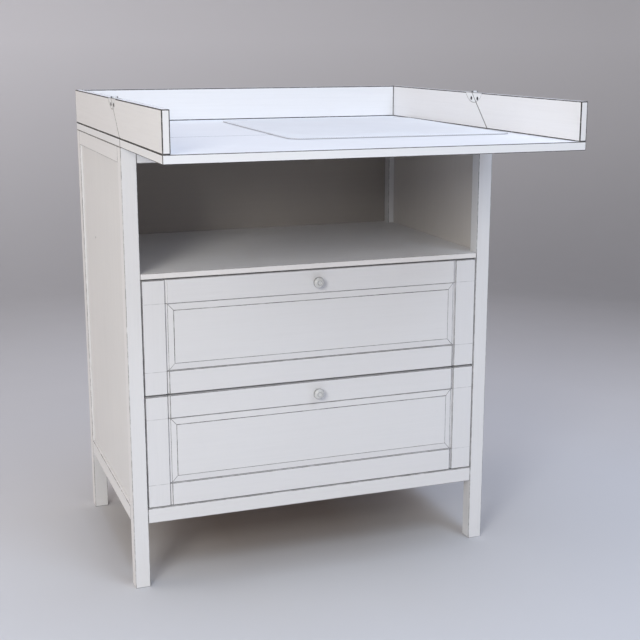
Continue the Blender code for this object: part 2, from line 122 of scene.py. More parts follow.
SPLIT_FOOT = (-0.075, 0.9175)            # y and z of the tray rails' split, low and high
SPLIT_HEAD = (0.0, 0.990)
SPLIT_LINE = 1.7 * MM
SPLIT_CORE = 0.6                         # share of the line's width that is fully dark
RAIL_MIDDLE = 0.388                      # x of the middle of a tray rail's thickness
RAIL_FACE = (5.7 * MM, 6.1 * MM)         # from that middle, where a point starts to be on a face
JOINT_HEIGHT = 69.25 * MM                # of the stiles' hairlines, from the stile's middle
JOINT_WIDTH = 0.8 * MM
JOINT_CORE = 0.5                         # share of their width that is fully dark

# ---- hinges and knobs -----------------------------------------------------------------------
BOLT_Y = (0.002, -0.026)                 # of the hinge bolts, which sit in dark washers
BOLT_HEIGHT = 0.978
WASHER = (3.7 * MM, 4.2 * MM)            # radii between which the dark round a bolt fades out
WASHER_OVAL = 0.70                       # height of the outer washers over their width
WASHER_CHANGE = (0.387, 0.389)           # x between the round inner and the oval outer washers
KNUCKLE_FADE = 1.2 * MM                  # below the rails' top, over which the knuckle's dark comes in
KNUCKLE_ENDS = (3.6 * MM, 5.0 * MM)      # from the rail's middle, where the knuckle turns dark
KNOB_RIM = 11.7 * MM
KNOB_RIM_LINE = (1.1 * MM, 0.2 * MM)     # inside the rim
KNOB_LIP = 4.8 * MM
KNOB_LIP_LINE = (0.2 * MM, 0.6 * MM)     # either side of the lip

# ---- colours --------------------------------------------------------------------------------
WHITE_FRAME = (0.80, 0.80, 0.81)
WHITE_FACE = (0.79, 0.79, 0.805)
WHITE_TOP = (0.81, 0.82, 0.84)
WHITE_BOARD = (0.76, 0.76, 0.765)
WHITE_SHELF = (0.86, 0.845, 0.84)
WHITE_BOX = (0.76, 0.755, 0.74)
WHITE_METAL = (0.80, 0.81, 0.82)
WHITE_KNOB = (0.68, 0.685, 0.68)
GREY_METAL = (0.74, 0.74, 0.74)
# painted shade: darker colours for the panels' faces inside the cabinet
PAINTED_SHADE_BACK = (0.37, 0.342, 0.32)
PAINTED_SHADE_SIDE_PANEL = (0.70, 0.664, 0.635)
BROWN_BOTTOM = (0.42, 0.35, 0.29)
STEEL_DARK = (0.016, 0.016, 0.017)
STEEL_STAINED = (0.060, 0.058, 0.056)
PAINTS = {
    # painted slot: its colour, and how strongly the grain shows
    "painted_frame": (WHITE_FRAME, 1.0),
    "painted_face": (WHITE_FACE, 0.7),
    "painted_top": (WHITE_TOP, 0.5),
}
BOARDS = {
    "foil_board": WHITE_BOARD,
    "side_panel": WHITE_BOARD,
    "shelf": WHITE_SHELF,
    "back_panel": WHITE_BOARD,
    "drawer_box": WHITE_BOX,
    "drawer_bottom": BROWN_BOTTOM,
}
PAINTED_SHADE_INSIDES = {
    # panel: painted shade, as the darker colour of its inner face, the axis across it, and where on
    # that axis the colour changes
    "side_panel": (PAINTED_SHADE_SIDE_PANEL, 0, (0.381, 0.383)),
    "back_panel": (PAINTED_SHADE_BACK, 1, (0.4295, 0.4305)),
}

# ---- rounding of the edges of the carried-over pieces ---------------------------------------
MERGE = 0.01 * MM                        # joins the corners that the model file keeps apart
FLAT_ANGLE = math.radians(1)             # faces that turn less than this become one
ROUND_ANGLE = math.radians(28)           # edges that turn more than this are rounded
MITRE_ANGLE = math.radians(3)            # the same for the panels with a mitred border
ROUND_STEPS = 3
ROUNDING = {
    "painted_frame": 1.1 * MM,
    "painted_face": 0.8 * MM,
    "painted_top": 0.9 * MM,
    "foil_board": 0.6 * MM,
    "drawer_box": 0.6 * MM,
    "hinge": 0.45 * MM,
    "runner": 0.6 * MM,
}
PANEL_ROUNDING = 0.45 * MM

# ---- cover plugs in the side panels ---------------------------------------------------------
PLUG_PLACE = (0.272, 0.678)              # y and z
PLUG_RADIUS = 2.5 * MM
PLUG_PROUD = 0.8 * MM
PLUG_SIDES = 24

# ---- changing mat ---------------------------------------------------------------------------
MAT_SIZE = (0.460, 0.560)
MAT_TURN = math.radians(-2)
MAT_CORNER = 30 * MM
MAT_CELL = 5 * MM
MAT_NEAR_BORDER = (0.0, 1.5 * MM, 3 * MM, 4.5 * MM, 6 * MM, 8 * MM, 11 * MM)
WELT = 6 * MM                            # flat border, with the stitches on it
WELT_PLAY = 0.1 * MM                     # a point this much inside the welt still counts as on it
WELT_THICK = 1.6 * MM
PAD_THICK = 3.4 * MM
PAD_EASE = 24 * MM                       # over which the pad rises to its full thickness
COVER_SLACK = -0.012                     # below zero the cloth grows by this share, and has slack
CLOTH = {
    # settings of the cloth simulation that fills the pad
    "quality": 6,
    "mass": 0.25,
    "tension_stiffness": 12,
    "compression_stiffness": 12,
    "shear_stiffness": 6,
    "bending_stiffness": 0.6,
    "shrink_min": COVER_SLACK,
    "use_pressure": True,
    "uniform_pressure_force": 0.9,
    "vertex_group_mass": "held",
}
PUFF_STEPS = 20
PUFF_SIDE = 1.5 * MM                     # most that a point may move sideways, up and down
PUFF_LIFT = 1.1 * MM
PUFF_SINK = 0.6 * MM
PIPING = 0.9 * MM                        # radius
PIPING_STEP = 4 * MM
PIPING_SIDES = 12
CORNER_STEPS = 12                        # along each round corner of the border
STITCH_INSET = 4 * MM
STITCH_PITCH = 4.6 * MM
STITCH_LENGTH = 3.4 * MM
STITCH_STEPS = 4
THREAD = 0.3 * MM                        # radius in the middle of a stitch
THREAD_END = 0.45                        # radius at a stitch's ends, as a share of that
THREAD_ARCH = 1.2                        # rise of a stitch's middle, as a share of that radius
THREAD_SIDES = 6
MAT_COLOUR = (0.72, 0.74, 0.77)
TRIM_COLOUR = (0.46, 0.46, 0.48)
THREAD_COLOURS = ((0.34, 0.34, 0.36), (0.50, 0.50, 0.52))
WEAVE = 330.0                            # bands per 2 pi metres, about 0.8 mm from thread to thread


# ---- node tools -----------------------------------------------------------------------------
class Surface:
    """A material whose Principled shader is fed by small patterns in the piece's own space."""

    def __init__(self, name, **sockets):
        self.material = bpy.data.materials.new(name)
        self.material.use_nodes = True
        self.tree = self.material.node_tree
        self.shader = self.tree.nodes["Principled BSDF"]
        self.place = self.add("ShaderNodeTexCoord").outputs["Object"]
        self.normal = None
        for socket, value in sockets.items():
            self.shader.inputs[socket.replace("_", " ")].default_value = value

    def add(self, kind, inputs=None, **settings):
        """A node, with its settings, and with values or links for its inputs."""
        node = self.tree.nodes.new(kind)
        for setting, value in settings.items():
            setattr(node, setting, value)
        for key, value in (inputs or {}).items():
            if isinstance(value, bpy.types.NodeSocket):
                self.tree.links.new(value, node.inputs[key])
            else:
                node.inputs[key].default_value = value
        return node

    def stretched(self, scale):
        """The piece's own coordinates, multiplied along each axis."""
        return self.add("ShaderNodeMapping", {"Vector": self.place, "Scale": scale}).outputs["Vector"]

    def noise(self, scale, octaves=4.0, rough=0.5, swirl=0.0):
        """Noise from 0 to 1, with scale per metre, the same on all axes or one for each."""
        own_axes = isinstance(scale, tuple)
        inputs = {
            "Vector": self.stretched(scale) if own_axes else self.place,
            "Scale": 1.0 if own_axes else scale,
            "Detail": octaves,
            "Roughness": rough,
            "Distortion": swirl,
        }
        return self.add("ShaderNodeTexNoise", inputs).outputs["Fac"]

    def spread(self, value, of, over=(0.0, 1.0)):
        """Spreads the range of a value over another range, and stops at both ends."""
        inputs = {0: value, 1: of[0], 2: of[1], 3: over[0], 4: over[1]}
        return self.add("ShaderNodeMapRange", inputs).outputs[0]

    def times(self, first, second):
        """One value times another."""
        return self.add("ShaderNodeMath", {0: first, 1: second}, operation="MULTIPLY").outputs[0]

    def plus(self, first, second):
        """The sum of two values."""
        return self.add("ShaderNodeMath", {0: first, 1: second}, operation="ADD").outputs[0]

    def mixed(self, share, first, second):
        """A colour between two colours or sockets."""
        node = self.add("ShaderNodeMix", data_type="RGBA")
        for index, value in ((0, share), (6, first), (7, second)):
            if isinstance(value, bpy.types.NodeSocket):
                self.tree.links.new(value, node.inputs[index])
            else:
                node.inputs[index].default_value = value if index == 0 else (*value, 1.0)
        return node.outputs[2]

    def finish(self, tone, rough, lines=()):
        """Feeds colour and roughness to the shader, with dark and rougher lines laid over them."""
        for line in lines:
            tone = self.mixed(line, tone, EDGE_LINE)
            rough = self.plus(rough, self.times(line, LINE_ROUGHNESS))
        self.tree.links.new(tone, self.shader.inputs["Base Color"])
        self.tree.links.new(rough, self.shader.inputs["Roughness"])

    def bump(self, height, depth, strength=1.0):
        """Adds relief of that depth, in metres, on top of the relief so far."""
        inputs = {"Height": height, "Distance": depth, "Strength": strength}
        if self.normal:
            inputs["Normal"] = self.normal
        self.normal = self.add("ShaderNodeBump", inputs).outputs["Normal"]
        self.tree.links.new(self.normal, self.shader.inputs["Normal"])

    def parts(self):
        """The three coordinates in the piece's own space."""
        return self.add("ShaderNodeSeparateXYZ", {0: self.place}).outputs

    def away(self, value, middle):
        """How far a value is from a number, either way."""
        offset = self.plus(value, -middle)
        return self.add("ShaderNodeMath", {0: offset}, operation="ABSOLUTE").outputs[0]

    def radius(self, first, second, middle_first, middle_second):
        """Distance from a line that runs along the third axis."""
        flat = {0: self.plus(first, -middle_first), 1: self.plus(second, -middle_second)}
        across = self.add("ShaderNodeCombineXYZ", flat).outputs[0]
        return self.add("ShaderNodeVectorMath", {0: across}, operation="LENGTH").outputs["Value"]

    def box_edges(self, low, high, width):
        """1 within width of the edges of a box in the piece's own space, 0 on its faces.

        It counts how many pairs of the box's faces a point is near.
        """
        count = None
        for part, start, end in zip(self.parts(), low, high):
            half = (end - start) / 2
            line = (half - width, half - OUTLINE_CORE * width)
            near = self.spread(self.away(part, (start + end) / 2), line)
            count = self.plus(count, near) if count else near
        return self.spread(count, ON_AN_EDGE)


def scaled(colour, factor):
    """A colour made brighter or darker."""
    return tuple(min(1.0, part * factor) for part in colour)


def along(axis, fine, coarse):
    """A scale that is coarse along one axis and fine across it."""
    return tuple(coarse if i == axis else fine for i in range(3))


# ---- materials ------------------------------------------------------------------------------
def painted_wood(name, colour, axis, edge=None, grain=1.0, box=None, joints=None, split=False):
    """Satin paint over wood: faint grain and pores, roller texture, soft stains, and dark edges.

    edge: how dark the line on the rounded edges is, at its faintest and at its strongest.
    box: corners of the piece and a width, for a broader dark line along the box's edges.
    joints: the height of a stile's middle, for hairlines across it.
    split: a dark line of painted shade beside the slanted split of the tray rails.
    """
    paint = Surface(name, Coat_Weight=0.08, Coat_Roughness=0.35, Specular_IOR_Level=0.40)
    clouds = paint.noise(2.3, octaves=3.0, rough=0.6)
    fibres = paint.noise(along(axis, fine=210.0, coarse=5.0), octaves=5.0, rough=0.62, swirl=0.4)
    dots = paint.noise(along(axis, fine=900.0, coarse=34.0), octaves=2.0)
    pores = paint.spread(dots, of=(0.60, 0.74))
    dark_fibres = paint.spread(fibres, of=(0.42, 0.70), over=(0.0, 0.22 * grain))
    tone = paint.mixed(clouds, scaled(colour, 0.965), scaled(colour, 1.02))
    tone = paint.mixed(dark_fibres, tone, scaled(colour, 0.88))
    tone = paint.mixed(paint.times(pores, 0.12 * grain), tone, scaled(colour, 0.72))
    if joints:
        tone = paint.mixed(joint_lines(paint, joints), tone, scaled(colour, 0.60))
    lines = []
    # dark line on the rounded edges: painted shade in seams between parts, an outline elsewhere
    if edge:
        edge_line_and_shade = paint.noise(60.0, octaves=5.0, rough=0.7)
        lines.append(paint.spread(edge_line_and_shade, of=(0.34, 0.58), over=edge))
    if box:
        breaks = paint.noise(75.0, octaves=5.0, rough=0.7)
        strength = paint.spread(breaks, of=(0.34, 0.50), over=(0.60, 0.97))
        lines.append(paint.times(paint.box_edges(*box), strength))
    if split:
        lines.append(split_shade_line(paint))
    smudges = paint.noise(7.0, octaves=5.0, rough=0.65)
    rough = paint.spread(smudges, of=(0.35, 0.70), over=(0.42, 0.58))
    rough = paint.plus(rough, paint.times(fibres, 0.08))
    paint.finish(tone, rough, lines)
    paint.bump(paint.noise(520.0, octaves=2.0), depth=0.035 * MM, strength=0.5)
    paint.bump(fibres, depth=0.10 * MM * grain, strength=0.5)
    paint.bump(pores, depth=-0.05 * MM * grain, strength=0.6)
    return paint.material


def joint_lines(paint, middle):
    """Hairlines across a drawer's stile, where the rails' tenons end under the paint."""
    from_middle = paint.away(paint.parts()[2], middle)
    from_joint = paint.away(from_middle, JOINT_HEIGHT)
    line = paint.spread(from_joint, of=(JOINT_CORE * JOINT_WIDTH, JOINT_WIDTH), over=(1.0, 0.0))
    patchy = paint.spread(paint.noise(90.0, octaves=3.0), of=(0.35, 0.6), over=(0.15, 0.8))
    return paint.times(line, patchy)


def split_shade_line(paint):
    """1 on a tray rail's two faces beside its slanted split, 0 elsewhere: painted shade from the gap.
    """
    parts = paint.parts()
    (foot_y, foot_z), (head_y, head_z) = SPLIT_FOOT, SPLIT_HEAD
    slope = (head_y - foot_y) / (head_z - foot_z)
    behind = paint.plus(parts[1], paint.times(parts[2], -slope))
    away = paint.away(behind, head_y - slope * head_z)
    line = paint.spread(away, of=(SPLIT_CORE * SPLIT_LINE, SPLIT_LINE), over=(1.0, 0.0))
    from_middle = paint.away(paint.away(parts[0], 0), RAIL_MIDDLE)
    on_face = paint.spread(from_middle, of=RAIL_FACE)
    patchy = paint.spread(paint.noise(75.0), of=(0.35, 0.6), over=(0.75, 0.97))
    return paint.times(line, paint.times(on_face, patchy))


def foil(name, colour, axis, edge=None, inside=None):
    """Printed paper foil on board: a fine fleck, a faint long figure and a slight waviness.

    inside: painted shade, a darker colour for the face of a panel that looks into the cabinet,
    the axis across the panel, and the two distances between which the colour changes.
    """
    skin = Surface(name, Specular_IOR_Level=0.4)
    figure = skin.noise(along(axis, fine=120.0, coarse=3.0), octaves=6.0, rough=0.6, swirl=0.8)
    fleck = skin.noise(1500.0, octaves=1.0)
    clouds = skin.noise(3.0, octaves=3.0)
    dark_figure = skin.spread(figure, of=(0.45, 0.72), over=(0.0, 0.22))
    dark_fleck = skin.spread(fleck, of=(0.55, 0.80), over=(0.0, 0.25))
    tone = skin.mixed(clouds, scaled(colour, 0.95), scaled(colour, 1.03))
    tone = skin.mixed(dark_figure, tone, scaled(colour, 0.84))
    tone = skin.mixed(dark_fleck, tone, scaled(colour, 0.80))
    # painted shade: the face that looks into the cabinet takes the darker colour
    if inside:
        shade_colour, across, change = inside
        outer = skin.spread(skin.away(skin.parts()[across], 0), of=change)
        inner = skin.mixed(figure, scaled(shade_colour, 0.92), shade_colour)
        tone = skin.mixed(outer, inner, tone)
    # dark line on the rounded edges: painted shade in seams between parts, an outline elsewhere
    if edge:
        edge_line_and_shade = skin.spread(skin.noise(60.0, rough=0.7), of=(0.36, 0.60), over=edge)
        tone = skin.mixed(edge_line_and_shade, tone, EDGE_LINE)
    rough = skin.spread(skin.noise(9.0, rough=0.6), of=(0.3, 0.7), over=(0.42, 0.58))
    skin.finish(tone, rough)
    skin.bump(figure, depth=0.05 * MM, strength=0.5)
    skin.bump(fleck, depth=0.02 * MM, strength=0.5)
    return skin.material


def powder_coat(name, colour, edge=None, hinge=False):
    """Baked powder on metal: a tight orange-peel skin, dark on the edges as painted shade where they
    meet other parts.

    hinge: the look of a hinge leaf, with painted shade beside the split, and dark on its knuckles and
    round its bolts.
    """
    coat = Surface(name, Coat_Weight=0.2, Coat_Roughness=0.2, Specular_IOR_Level=0.45)
    peel = coat.noise(1700.0, octaves=2.0)
    tone = coat.mixed(coat.noise(90.0, rough=0.6), scaled(colour, 0.92), scaled(colour, 1.03))
    lines = []
    # dark line on the edges: painted shade where they meet other parts
    if edge:
        lines.append(coat.spread(coat.noise(200.0, octaves=3.0), of=(0.3, 0.6), over=edge))
    if hinge:
        lines += hinge_lines(coat)
    rough = coat.spread(coat.noise(160.0, octaves=3.0), of=(0.3, 0.7), over=(0.30, 0.46))
    coat.finish(tone, rough, lines)
    coat.bump(peel, depth=0.04 * MM, strength=0.7)
    return coat.material


def hinge_lines(coat):
    """Dark parts of a hinge leaf: painted shade beside the split, and dark at the knuckle's ends and
    round the bolts.
    """
    lines = [split_shade_line(coat)]
    x, y, z = coat.parts()
    from_middle = coat.away(coat.away(x, 0), RAIL_MIDDLE)
    on_knuckle = coat.spread(z, of=(SPLIT_HEAD[1] - KNUCKLE_FADE, SPLIT_HEAD[1]))
    at_ends = coat.spread(from_middle, of=KNUCKLE_ENDS, over=(0.16, 0.85))
    lines.append(coat.times(on_knuckle, at_ends))
    narrowing = coat.spread(coat.away(x, 0), of=WASHER_CHANGE, over=(1.0, WASHER_OVAL))
    for bolt_y in BOLT_Y:
        beside = coat.times(coat.plus(y, -bolt_y), narrowing)
        from_bolt = coat.radius(beside, z, 0, BOLT_HEIGHT)
        lines.append(coat.spread(from_bolt, of=WASHER, over=(0.95, 0.0)))
    return lines


def blackened_steel(name):
    """Blackened steel with turning marks and a slight stain."""
    metal = Surface(name, Metallic=0.25, Specular_IOR_Level=0.2)
    stain = metal.noise(420.0, octaves=5.0, rough=0.7)
    scratch = metal.noise(along(0, fine=3200.0, coarse=260.0), octaves=3.0, rough=0.6)
    tone = metal.mixed(stain, STEEL_DARK, STEEL_STAINED)
    metal.finish(tone, metal.spread(scratch, of=(0.3, 0.7), over=(0.52, 0.74)))
    metal.bump(scratch, depth=0.01 * MM, strength=0.6)
    return metal.material


def turned_paint(name, colour, centre):
    """Speckled lacquer over a turned knob: dark specks, and a dark line at its rim and its dish."""
    coat = Surface(name, Coat_Weight=0.25, Coat_Roughness=0.16, Specular_IOR_Level=0.5)
    x, y, z = coat.parts()
    radius = coat.radius(x, z, centre.x, centre.z)
    rings = coat.noise((60.0, 2400.0, 60.0), octaves=2.0)
    specks = coat.spread(coat.noise(1150.0, octaves=2.0, rough=0.6), of=(0.50, 0.62), over=(0.0, 0.42))
    tone = coat.mixed(coat.noise(180.0, rough=0.6), scaled(colour, 0.93), scaled(colour, 1.02))
    tone = coat.mixed(specks, tone, scaled(colour, 0.45))
    lip = coat.spread(coat.away(radius, KNOB_LIP), of=KNOB_LIP_LINE, over=(0.55, 0.0))
    rim = coat.spread(radius, of=[KNOB_RIM - inset for inset in KNOB_RIM_LINE], over=(0.0, 0.75))
    for line in (lip, rim):
        tone = coat.mixed(line, tone, EDGE_LINE)
    coat.finish(tone, coat.spread(coat.noise(240.0, octaves=3.0), of=(0.3, 0.7), over=(0.26, 0.40)))
    coat.bump(rings, depth=0.015 * MM, strength=0.5)
    coat.bump(coat.noise(900.0, octaves=2.0), depth=0.02 * MM, strength=0.4)
    return coat.material


def coated_fabric(name, colour):
    """Wipe-clean coating over a plain weave: crossed threads under a soft sheen."""
    cloth = Surface(name, Sheen_Weight=0.12, Sheen_Roughness=0.5, Specular_IOR_Level=0.35)
    turned = cloth.add("ShaderNodeMapping", {"Vector": cloth.place, "Rotation": (0, 0, -MAT_TURN)})
    inputs = {
        "Vector": turned.outputs["Vector"],
        "Scale": WEAVE,
        "Distortion": 0.6,
        "Detail Scale": 3.0,
    }
    threads = []
    for direction in ("X", "Y"):
        wave = cloth.add("ShaderNodeTexWave", inputs, bands_direction=direction)
        threads.append(wave.outputs["Fac"])
    weave = cloth.times(*threads)
    tone = cloth.mixed(cloth.noise(9.0, rough=0.6), scaled(colour, 0.94), scaled(colour, 1.04))
    tone = cloth.mixed(cloth.times(weave, 0.25), tone, scaled(colour, 0.86))
    cloth.finish(tone, cloth.spread(cloth.noise(14.0), of=(0.3, 0.7), over=(0.50, 0.64)))
    cloth.bump(cloth.noise(34.0, octaves=3.0, rough=0.55), depth=0.5 * MM, strength=0.35)
    cloth.bump(weave, depth=0.06 * MM, strength=0.6)
    return cloth.material


def thread_surface():
    """Spun polyester thread."""
    thread = Surface("mat_thread", Sheen_Weight=0.2, Specular_IOR_Level=0.4)
    twist = thread.noise(2600.0, octaves=2.0)
    tone = thread.mixed(twist, *THREAD_COLOURS)
    thread.finish(tone, thread.spread(twist, of=(0.3, 0.7), over=(0.50, 0.70)))
    thread.bump(twist, depth=0.05 * MM, strength=0.7)
    return thread.material


def stage_paper_painted_light():
    """Matt backdrop paper: even on the floor but for a painted shadow under the cabinet, and painted
    light and shade up the wall.
    """
    paper = Surface("backdrop_paper", Specular_IOR_Level=0.2)
    parts = paper.parts()
    # painted light and shade on the wall: brighter to the left and higher up, darker at its foot
    wall_light_falloffs = []
    for part, ends in zip(parts, (WALL_PAINTED_LIGHT_ACROSS, WALL_BACK, WALL_PAINTED_LIGHT_UP)):
        (low, at_low), (high, at_high) = ends
        wall_light_falloffs.append(paper.spread(part, of=(low, high), over=(at_low, at_high)))
    distance = paper.add("ShaderNodeVectorMath", {0: paper.place}, operation="LENGTH").outputs["Value"]
    on_wall = paper.spread(distance, of=WALL_START)
    brightest = WALL_PAINTED_LIGHT_ACROSS[0][1] * WALL_PAINTED_LIGHT_UP[1][1]
    painted_light_share = paper.times(paper.times(wall_light_falloffs[0], wall_light_falloffs[1]), paper.times(wall_light_falloffs[2], 1 / brightest))
    wall = paper.mixed(painted_light_share, (0, 0, 0), scaled(STAGE_COLOUR, brightest))
    mottle = paper.noise(1.4, octaves=2.0)
    floor = paper.mixed(mottle, scaled(STAGE_COLOUR, 0.98), scaled(STAGE_COLOUR, 1.02))
    # painted shadow under the cabinet: the floor's colour darker and warmer there
    painted_shadow = []
    for part, middle, half in zip(parts, PAINTED_SHADOW_MIDDLE, PAINTED_SHADOW_HALF):
        away = paper.away(part, middle)
        painted_shadow.append(paper.spread(away, of=(half - PAINTED_SHADOW_SOFT, half), over=(1.0, 0.0)))
    floor = paper.mixed(paper.times(*painted_shadow), floor, PAINTED_SHADOW_COLOUR)
    rough = paper.spread(paper.noise(5.0), of=(0.3, 0.7), over=(0.62, 0.78))
    paper.finish(paper.mixed(on_wall, floor, wall), rough)
    return paper.material


# ---- which piece gets which surface ---------------------------------------------------------
def outline_of(name):
    """The box and line width for pieces that carry a broad dark outline, else None."""
    for start, width in OUTLINES.items():
        if name.startswith(start):
            return (*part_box(name), width)
    return None


def kind_of(name, slot):
    """The material slot of a piece, or a finer kind for some of the boards."""
    if slot != "foil_board":
        return slot
    if name.endswith("_bottom"):
        return "drawer_bottom"
    for kind in ("side_panel", "shelf", "back_panel"):
        if name.startswith(kind):
            return kind
    return slot


def make_pair(name, slot, kind, key, axis):
    """New surfaces for the faces and for the rounded edges of a piece or a kind of piece."""
    low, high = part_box(name)
    if slot == "knob":
        lacquer = turned_paint(key, WHITE_KNOB, (low + high) / 2)
        return lacquer, lacquer
    pair = []
    for ending, edge in (("", None), ("_edge", EDGE_SHARES[kind])):
        if kind in BOARDS:
            pair.append(foil(key + ending, BOARDS[kind], axis, edge, PAINTED_SHADE_INSIDES.get(kind)))
        else:
            colour, grain = PAINTS[kind]
            joints = (low.z + high.z) / 2 if "_stile_" in name else None
            split = name.startswith(("tray_rail_front", "tray_rail_rear"))
            outline = outline_of(name)
            pair.append(painted_wood(key + ending, colour, axis, edge, grain, outline, joints, split))
    return pair


def make_finishes():
    """A function from a carried-over piece to its surface and the surface of its edges."""
    steel = blackened_steel("blackened_steel")
    runner = powder_coat("runner_powder", GREY_METAL)
    hinge = powder_coat("hinge_powder", WHITE_METAL, hinge=True)
    hinge_edge = powder_coat("hinge_powder_edge", WHITE_METAL, EDGE_SHARES["hinge"], hinge=True)
    singles = {
        "steel": (steel, steel),
        "runner": (runner, runner),
        "hinge": (hinge, hinge_edge),
    }
    made = {}

    def finish(name, slot):
        """Surfaces that are made when a piece first needs them, and kept for the pieces like it."""
        if slot in singles:
            return singles[slot]
        axis = longest_axis(name)
        kind = kind_of(name, slot)
        has_own = slot == "knob" or "_stile_" in name or outline_of(name)
        key = f"{name}_paint" if has_own else f"{kind}_{'XYZ'[axis]}"
        if key not in made:
            made[key] = make_pair(name, slot, kind, key, axis)
        return made[key]

    return finish


# ---- pieces ---------------------------------------------------------------------------------
def new_piece(name, bm):
    """An object of that name from the mesh that was built."""
    mesh = bpy.data.meshes.new(name)
    bm.to_mesh(mesh)
    bm.free()
    piece = bpy.data.objects.new(name, mesh)
    bpy.context.collection.objects.link(piece)
    return piece


def longest_axis(node):
    """0, 1 or 2, for the axis along which a piece of the model is longest."""
    low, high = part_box(node)
    size = high - low
    return max(range(3), key=lambda i: size[i])


def dress(name, piece, finish):
    """Rounds a carried-over piece's edges and gives it its surfaces."""
    mesh = piece.data
    slot = mesh.materials[0].name
    surface, edge = finish(name, slot)
    mesh.materials.clear()
    mesh.materials.append(surface)
    mesh.materials.append(edge)
    for attribute in ("custom_normal", "sharp_edge", "sharp_face"):
        if attribute in mesh.attributes:
            mesh.attributes.remove(mesh.attributes[attribute])
    mesh.shade_smooth()

    weld = piece.modifiers.new("weld", "WELD")
    weld.merge_threshold = MERGE
    if slot in ROUNDING:
        flatten = piece.modifiers.new("flatten", "DECIMATE")
        flatten.decimate_type = "DISSOLVE"
        flatten.angle_limit = FLAT_ANGLE
        rounding = piece.modifiers.new("round", "BEVEL")
        mitred = name.endswith("_panel") and slot == "painted_face"
        rounding.width = PANEL_ROUNDING if mitred else ROUNDING[slot]
        rounding.segments = ROUND_STEPS
        rounding.limit_method = "ANGLE"
        rounding.angle_limit = MITRE_ANGLE if mitred else ROUND_ANGLE
        rounding.harden_normals = True
        rounding.material = 1
    else:
        split = piece.modifiers.new("split", "EDGE_SPLIT")
        split.split_angle = ROUND_ANGLE


# ---- changing mat ---------------------------------------------------------------------------
def rounded(u, v, half_x, half_y, corner):
    """Moves a point of a rectangle so that the rectangle's corners turn round."""
    s = (abs(u) - (half_x - corner)) / corner
    t = (abs(v) - (half_y - corner)) / corner
    if s <= 0 or t <= 0:
        return u, v
    x = half_x - corner + corner * s * math.sqrt(1 - t * t / 2)
    y = half_y - corner + corner * t * math.sqrt(1 - s * s / 2)
    return math.copysign(x, u), math.copysign(y, v)


def steps_across(half):
    """Places from -half to half: close together at the welt, then one cell apart."""
    near = [half - inset for inset in MAT_NEAR_BORDER]
    inner = near[-1]
    cells = round(2 * inner / MAT_CELL)
    middle = [-inner + 2 * inner * i / cells for i in range(1, cells)]
    return [-x for x in near] + middle + near[::-1]


def ease(t):
    """Goes smoothly from 0 to 1 as t does, and stays there outside."""
    t = max(0.0, min(1.0, t))
    return t * t * (3 - 2 * t)


def pad_height(inset):
    """Height of the pad's top at a distance inside its border."""
    if inset <= WELT:
        return WELT_THICK
    return WELT_THICK + (PAD_THICK - WELT_THICK) * ease((inset - WELT) / PAD_EASE)


def make_pad():
    """A closed thin cushion: a flat underside, and a top that rises inside its flat welt."""
    half_x = MAT_SIZE[0] / 2 - PIPING
    half_y = MAT_SIZE[1] / 2 - PIPING
    corner = MAT_CORNER - PIPING
    columns = steps_across(half_x)
    rows = steps_across(half_y)
    last_i = len(columns) - 1
    last_j = len(rows) - 1
    bm = bmesh.new()
    top = {}
    bottom = {}
    held = []
    for i, u in enumerate(columns):
        for j, v in enumerate(rows):
            x, y = rounded(u, v, half_x, half_y, corner)
            inset = min(half_x - abs(u), half_y - abs(v))
            top[i, j] = bm.verts.new((x, y, pad_height(inset)))
            held.append(inset <= WELT + WELT_PLAY)
    for i, u in enumerate(columns):
        for j, v in enumerate(rows):
            if i in (0, last_i) or j in (0, last_j):
                bottom[i, j] = top[i, j]
                top[i, j].co.z = WELT_THICK / 2
            else:
                x, y = rounded(u, v, half_x, half_y, corner)
                bottom[i, j] = bm.verts.new((x, y, 0))
                held.append(True)
    for i in range(last_i):
        for j in range(last_j):
            corners = ((i, j), (i + 1, j), (i + 1, j + 1), (i, j + 1))
            bm.faces.new([top[key] for key in corners])
            bm.faces.new([bottom[key] for key in reversed(corners)])
    pad = new_piece("changing_mat_pad", bm)
    group = pad.vertex_groups.new(name="held")
    group.add([i for i, is_held in enumerate(held) if is_held], 1.0, "REPLACE")
    return pad


def puff(pad):
    """Fills the pad a little, with cover to spare, so that it puckers beside its welt."""
    rest = [vertex.co.copy() for vertex in pad.data.vertices]
    cloth = pad.modifiers.new("cloth", "CLOTH")
    for setting, value in CLOTH.items():
        setattr(cloth.settings, setting, value)
    cloth.settings.effector_weights.gravity = 0
    scene = bpy.context.scene
    for step in range(1, PUFF_STEPS + 1):
        scene.frame_set(step)
    view = bpy.context.evaluated_depsgraph_get()
    settled = [vertex.co.copy() for vertex in pad.evaluated_get(view).data.vertices]
    pad.modifiers.remove(cloth)
    scene.frame_set(1)
    for vertex, before, after in zip(pad.data.vertices, rest, settled):
        if before.z < WELT_THICK:
            continue
        move = after - before
        sideways = Vector((move.x, move.y, 0))
        if sideways.length > PUFF_SIDE:
            sideways *= PUFF_SIDE / sideways.length
        lift = max(-PUFF_SINK, min(PUFF_LIFT, move.z))
        vertex.co = before + sideways + UP * lift


